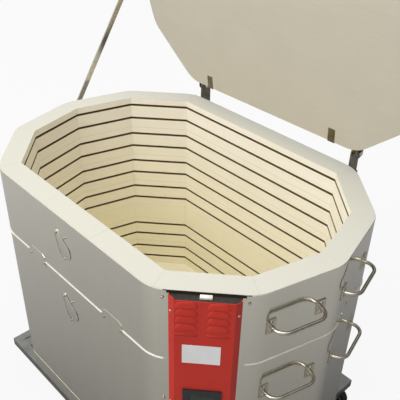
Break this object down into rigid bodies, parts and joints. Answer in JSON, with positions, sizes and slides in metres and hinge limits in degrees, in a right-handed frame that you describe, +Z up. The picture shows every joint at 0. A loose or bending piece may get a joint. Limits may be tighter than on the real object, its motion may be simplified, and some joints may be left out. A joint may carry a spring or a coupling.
{
  "type": "top-loading electric ceramic kiln",
  "caption": "Oval top-loading electric ceramic kiln with grooved firebrick walls, stainless jacket, hinged lid on a sliding stay, side control box and a rolling stand.",
  "frame": {"origin": "centre of the chamber floor's upper face", "axes": "+X along the long way to the right end, +Y towards the lid hinge at the back, +Z up"},
  "size_m": [1.2822, 0.8562, 1.807],
  "materials": {
    "firebrick": "matte",
    "stainless_sheet": "satin",
    "element_wire": "oxidised",
    "porcelain": "matte",
    "plated_steel": "bright",
    "stand_steel": "satin",
    "wheel_rubber": "matte",
    "knob_plastic": "matte",
    "red_paint": "semi-gloss",
    "label": "matte",
    "controller_plastic": "matte",
    "key_plastic": "matte",
    "relay_plastic": "matte",
    "sensor_ceramic": "matte"
  },
  "bodies": {
    "kiln": {"floor_pan": "stainless_sheet", "floor_slab": "firebrick", "course_1": "firebrick", "course_2": "firebrick", "course_3": "firebrick", "course_4": "firebrick", "course_plain": "firebrick", "course_5": "firebrick", "course_6": "firebrick", "element_1": "element_wire", "element_2": "element_wire", "element_3": "element_wire", "element_4": "element_wire", "element_5": "element_wire", "element_6": "element_wire", "lead_tubes": "porcelain", "upper_jacket": "stainless_sheet", "lower_jacket": "stainless_sheet", "seam_tabs": "stainless_sheet", "handles_left": "plated_steel", "handles_right": "plated_steel", "case_screws": "plated_steel", "stand_frame": "stand_steel", "caster_plates": "stand_steel", "hinge_posts": "plated_steel", "hinge_pins": "plated_steel", "stay_body_bracket": "plated_steel", "box_back": "stainless_sheet", "box_cover": "red_paint", "label_plate": "label", "controller": "controller_plastic", "switch_housing": "controller_plastic", "relays": "relay_plastic", "terminal_block": "relay_plastic", "cable_gland": "knob_plastic", "thermocouple": "sensor_ceramic"},
    "lid": {"lid_slab": "firebrick", "lid_band": "stainless_sheet", "lid_straps": "stainless_sheet", "lid_handle": "plated_steel", "lid_ears": "plated_steel", "stay_lid_bracket": "plated_steel"},
    "stay_bar": {"stay_bar": "plated_steel"},
    "stay_guide": {"stay_guide": "plated_steel"},
    "stay_knob": {"stay_knob": "knob_plastic"},
    "peep_cover_upper": {"peep_cover_upper": "stainless_sheet"},
    "peep_cover_lower": {"peep_cover_lower": "stainless_sheet"},
    "power_rocker": {"power_rocker": "controller_plastic"},
    "key_1": {"key_1": "key_plastic"},
    "key_2": {"key_2": "key_plastic"},
    "key_3": {"key_3": "key_plastic"},
    "caster_fork_front_left": {"caster_fork_front_left": "stand_steel"},
    "caster_wheel_front_left": {"caster_wheel_front_left": "wheel_rubber"},
    "caster_fork_front_right": {"caster_fork_front_right": "stand_steel"},
    "caster_wheel_front_right": {"caster_wheel_front_right": "wheel_rubber"},
    "caster_fork_rear_left": {"caster_fork_rear_left": "stand_steel"},
    "caster_wheel_rear_left": {"caster_wheel_rear_left": "wheel_rubber"},
    "caster_fork_rear_right": {"caster_fork_rear_right": "stand_steel"},
    "caster_wheel_rear_right": {"caster_wheel_rear_right": "wheel_rubber"}
  },
  "joints": [
    {"name": "lid_hinge", "type": "hinge", "parent": "kiln", "child": "lid", "pos_m": [0, 0.419, 0.7873], "axis": [1, 0, 0], "range_deg": [0, 84]},
    {"name": "stay_pivot", "type": "hinge", "parent": "lid", "child": "stay_bar", "pos_m": [-0.62999, 0.37708, 1.1861], "axis": [1, 0, 0], "range_deg": [-42, 0]},
    {"name": "stay_swivel", "type": "hinge", "parent": "kiln", "child": "stay_guide", "pos_m": [-0.62999, 0.038, 0.6623], "axis": [1, 0, 0], "range_deg": [0, 42]},
    {"name": "stay_lock", "type": "hinge", "parent": "stay_guide", "child": "stay_knob", "pos_m": [-0.62999, 0.038, 0.6623], "axis": [1, 0, 0], "range_deg": [0, 360]},
    {"name": "peep_cover_upper_swing", "type": "hinge", "parent": "kiln", "child": "peep_cover_upper", "pos_m": [-0.046, -0.39365, 0.6843], "axis": [0, -1, 0], "range_deg": [-100, 0]},
    {"name": "peep_cover_lower_swing", "type": "hinge", "parent": "kiln", "child": "peep_cover_lower", "pos_m": [-0.046, -0.39365, 0.4557], "axis": [0, -1, 0], "range_deg": [-100, 0]},
    {"name": "caster_swivel_front_left", "type": "hinge", "parent": "kiln", "child": "caster_fork_front_left", "pos_m": [-0.448, -0.35165, -0.08], "axis": [0, 0, 1], "continuous": true},
    {"name": "caster_roll_front_left", "type": "hinge", "parent": "caster_fork_front_left", "child": "caster_wheel_front_left", "pos_m": [-0.428, -0.35165, -0.1292], "axis": [0, 1, 0], "continuous": true},
    {"name": "caster_swivel_front_right", "type": "hinge", "parent": "kiln", "child": "caster_fork_front_right", "pos_m": [0.448, -0.35165, -0.08], "axis": [0, 0, 1], "continuous": true},
    {"name": "caster_roll_front_right", "type": "hinge", "parent": "caster_fork_front_right", "child": "caster_wheel_front_right", "pos_m": [0.468, -0.35165, -0.1292], "axis": [0, 1, 0], "continuous": true},
    {"name": "caster_swivel_rear_left", "type": "hinge", "parent": "kiln", "child": "caster_fork_rear_left", "pos_m": [-0.448, 0.35165, -0.08], "axis": [0, 0, 1], "continuous": true},
    {"name": "caster_roll_rear_left", "type": "hinge", "parent": "caster_fork_rear_left", "child": "caster_wheel_rear_left", "pos_m": [-0.428, 0.35165, -0.1292], "axis": [0, 1, 0], "continuous": true},
    {"name": "caster_swivel_rear_right", "type": "hinge", "parent": "kiln", "child": "caster_fork_rear_right", "pos_m": [0.448, 0.35165, -0.08], "axis": [0, 0, 1], "continuous": true},
    {"name": "caster_roll_rear_right", "type": "hinge", "parent": "caster_fork_rear_right", "child": "caster_wheel_rear_right", "pos_m": [0.468, 0.35165, -0.1292], "axis": [0, 1, 0], "continuous": true},
    {"name": "key_1_press", "type": "slide", "parent": "kiln", "child": "key_1", "axis": [-0.6691, 0.7431, 0], "range_m": [0, 0.0012], "stiffness_N_per_m": 500},
    {"name": "key_2_press", "type": "slide", "parent": "kiln", "child": "key_2", "axis": [-0.6691, 0.7431, 0], "range_m": [0, 0.0012], "stiffness_N_per_m": 500},
    {"name": "key_3_press", "type": "slide", "parent": "kiln", "child": "key_3", "axis": [-0.6691, 0.7431, 0], "range_m": [0, 0.0012], "stiffness_N_per_m": 500},
    {"name": "power_rocker_tip", "type": "hinge", "parent": "kiln", "child": "power_rocker", "pos_m": [0.45843, -0.32702, 0.2623], "axis": [0.7431, 0.6691, 0], "range_deg": [0, 14]}
  ],
  "couplings": [
    {"joint": "stay_pivot", "follows": "lid_hinge", "ratio": -0.5},
    {"joint": "stay_swivel", "follows": "lid_hinge", "ratio": 0.5}
  ]
}
